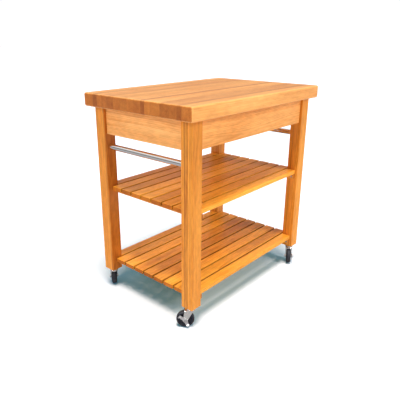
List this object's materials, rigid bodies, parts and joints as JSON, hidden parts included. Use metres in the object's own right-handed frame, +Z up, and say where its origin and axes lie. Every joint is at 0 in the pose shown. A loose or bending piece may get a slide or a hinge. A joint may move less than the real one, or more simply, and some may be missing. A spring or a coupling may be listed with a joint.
{
  "type": "rolling butcher block table",
  "caption": "Thick butcher block top on square legs, with slatted shelves, a chrome towel bar at each end and swivel casters with side brakes.",
  "frame": {"origin": "on the floor under the middle of the top", "axes": "+X along the length to the right, +Y to the rear, +Z up; the two casters with brakes are at the front (-Y)"},
  "size_m": [0.914, 0.61, 0.927],
  "materials": {
    "top_wood": "satin lacquer over glued hardwood staves",
    "leg_wood": "satin lacquer, three laminations",
    "apron_wood": "satin lacquer",
    "slat_wood": "satin lacquer",
    "cleat_wood": "satin lacquer",
    "bar_chrome": "polished chrome plate",
    "caster_chrome": "bright plated pressed steel",
    "wheel_rubber": "moulded, semi-matt",
    "brake_steel": "plated pressed steel",
    "zinc_steel": "zinc plate"
  },
  "bodies": {
    "table": {"butcher_block_top": "top_wood", "front_left_leg": "leg_wood", "front_right_leg": "leg_wood", "rear_left_leg": "leg_wood", "rear_right_leg": "leg_wood", "front_apron": "apron_wood", "rear_apron": "apron_wood", "left_apron": "apron_wood", "right_apron": "apron_wood", "left_towel_bar": "bar_chrome", "right_towel_bar": "bar_chrome", "upper_slat_1": "slat_wood", "upper_slat_2": "slat_wood", "upper_slat_3": "slat_wood", "upper_slat_4": "slat_wood", "upper_slat_5": "slat_wood", "upper_slat_6": "slat_wood", "upper_slat_7": "slat_wood", "upper_slat_8": "slat_wood", "upper_slat_9": "slat_wood", "lower_slat_1": "slat_wood", "lower_slat_2": "slat_wood", "lower_slat_3": "slat_wood", "lower_slat_4": "slat_wood", "lower_slat_5": "slat_wood", "lower_slat_6": "slat_wood", "lower_slat_7": "slat_wood", "lower_slat_8": "slat_wood", "lower_slat_9": "slat_wood", "upper_left_cleat": "cleat_wood", "upper_right_cleat": "cleat_wood", "lower_left_cleat": "cleat_wood", "lower_right_cleat": "cleat_wood", "front_left_bracket": "zinc_steel", "front_right_bracket": "zinc_steel", "rear_left_bracket": "zinc_steel", "rear_right_bracket": "zinc_steel", "hanger_bolts": "zinc_steel", "hanger_nuts": "zinc_steel", "bracket_screws": "zinc_steel", "top_clips": "zinc_steel", "top_clip_screws": "zinc_steel", "slat_screws": "zinc_steel", "cleat_screws": "zinc_steel", "caster_stems": "caster_chrome"},
    "front_left_swivel": {"front_left_fork": "caster_chrome", "front_left_axle": "zinc_steel"},
    "front_left_roller": {"front_left_wheel": "wheel_rubber"},
    "front_left_pedal": {"front_left_brake": "brake_steel"},
    "front_right_swivel": {"front_right_fork": "caster_chrome", "front_right_axle": "zinc_steel"},
    "front_right_roller": {"front_right_wheel": "wheel_rubber"},
    "front_right_pedal": {"front_right_brake": "brake_steel"},
    "rear_left_swivel": {"rear_left_fork": "caster_chrome", "rear_left_axle": "zinc_steel"},
    "rear_left_roller": {"rear_left_wheel": "wheel_rubber"},
    "rear_right_swivel": {"rear_right_fork": "caster_chrome", "rear_right_axle": "zinc_steel"},
    "rear_right_roller": {"rear_right_wheel": "wheel_rubber"}
  },
  "joints": [
    {"name": "front_left_swivel_turn", "type": "hinge", "parent": "table", "child": "front_left_swivel", "pos_m": [-0.3955, -0.2485, 0.085], "axis": [0, 0, 1], "continuous": true},
    {"name": "front_left_wheel_spin", "type": "hinge", "parent": "front_left_swivel", "child": "front_left_roller", "pos_m": [-0.41156, -0.23067, 0.038], "axis": [-0.7431, -0.6691, 0], "continuous": true},
    {"name": "front_left_brake_press", "type": "hinge", "parent": "front_left_swivel", "child": "front_left_pedal", "pos_m": [-0.41156, -0.23067, 0.038], "axis": [-0.7431, -0.6691, 0], "range_deg": [0, 18]},
    {"name": "front_right_swivel_turn", "type": "hinge", "parent": "table", "child": "front_right_swivel", "pos_m": [0.3955, -0.2485, 0.085], "axis": [0, 0, 1], "continuous": true},
    {"name": "front_right_wheel_spin", "type": "hinge", "parent": "front_right_swivel", "child": "front_right_roller", "pos_m": [0.37515, -0.26122, 0.038], "axis": [0.5299, -0.848, 0], "continuous": true},
    {"name": "front_right_brake_press", "type": "hinge", "parent": "front_right_swivel", "child": "front_right_pedal", "pos_m": [0.37515, -0.26122, 0.038], "axis": [0.5299, -0.848, 0], "range_deg": [0, 18]},
    {"name": "rear_left_swivel_turn", "type": "hinge", "parent": "table", "child": "rear_left_swivel", "pos_m": [-0.3955, 0.2485, 0.085], "axis": [0, 0, 1], "continuous": true},
    {"name": "rear_left_wheel_spin", "type": "hinge", "parent": "rear_left_swivel", "child": "rear_left_roller", "pos_m": [-0.38278, 0.26885, 0.038], "axis": [-0.848, 0.5299, 0], "continuous": true},
    {"name": "rear_right_swivel_turn", "type": "hinge", "parent": "table", "child": "rear_right_swivel", "pos_m": [0.3955, 0.2485, 0.085], "axis": [0, 0, 1], "continuous": true},
    {"name": "rear_right_wheel_spin", "type": "hinge", "parent": "rear_right_swivel", "child": "rear_right_roller", "pos_m": [0.37584, 0.26227, 0.038], "axis": [-0.5736, -0.8192, 0], "continuous": true}
  ]
}
